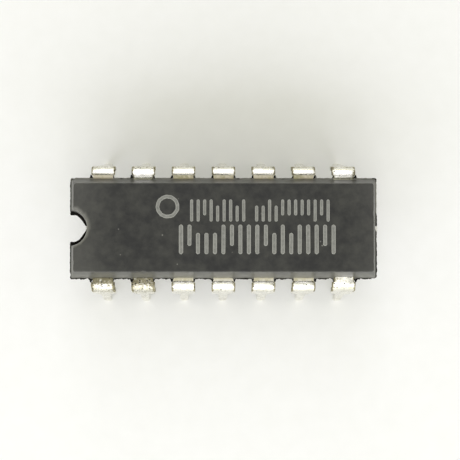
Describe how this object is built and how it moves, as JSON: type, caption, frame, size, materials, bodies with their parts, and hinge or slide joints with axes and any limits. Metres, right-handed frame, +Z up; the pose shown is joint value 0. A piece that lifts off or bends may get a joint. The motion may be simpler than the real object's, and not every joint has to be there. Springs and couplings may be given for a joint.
{
  "type": "dual in-line integrated circuit package",
  "caption": "Moulded through-hole integrated circuit with an index notch and two rows of bent, splayed leads, round a bonded chip on a lead frame.",
  "frame": {"origin": "on the surface that the lead tips stand on, below the middle of the body", "axes": "+X along the body, away from the index notch; +Y across it, to the left for someone looking along +X; +Z up, out of the top face"},
  "size_m": [0.0195, 0.0092, 0.0074],
  "materials": {
    "moulding_compound": "black filled epoxy, matte, from a spark-eroded mould",
    "lead_plating": "solder-dipped nickel-iron sheet, bright with dull and stained patches",
    "frame_strip": "stamped nickel-iron strip, rolled grain",
    "silver_epoxy": "silver-filled epoxy paste, cured",
    "silicon": "passivated silicon, glossy grey-violet",
    "bond_gold": "drawn gold wire"
  },
  "bodies": {
    "root": {"body": "moulding_compound", "die_pad": "frame_strip", "die_attach": "silver_epoxy", "die": "silicon", "lead_01": "lead_plating", "lead_02": "lead_plating", "lead_03": "lead_plating", "lead_04": "lead_plating", "lead_05": "lead_plating", "lead_06": "lead_plating", "lead_07": "lead_plating", "lead_08": "lead_plating", "lead_09": "lead_plating", "lead_10": "lead_plating", "lead_11": "lead_plating", "lead_12": "lead_plating", "lead_13": "lead_plating", "lead_14": "lead_plating", "bond_wire_01": "bond_gold", "bond_wire_02": "bond_gold", "bond_wire_03": "bond_gold", "bond_wire_04": "bond_gold", "bond_wire_05": "bond_gold", "bond_wire_06": "bond_gold", "bond_wire_07": "bond_gold", "bond_wire_08": "bond_gold", "bond_wire_09": "bond_gold", "bond_wire_10": "bond_gold", "bond_wire_11": "bond_gold", "bond_wire_12": "bond_gold", "bond_wire_13": "bond_gold", "bond_wire_14": "bond_gold"}
  },
  "joints": []
}
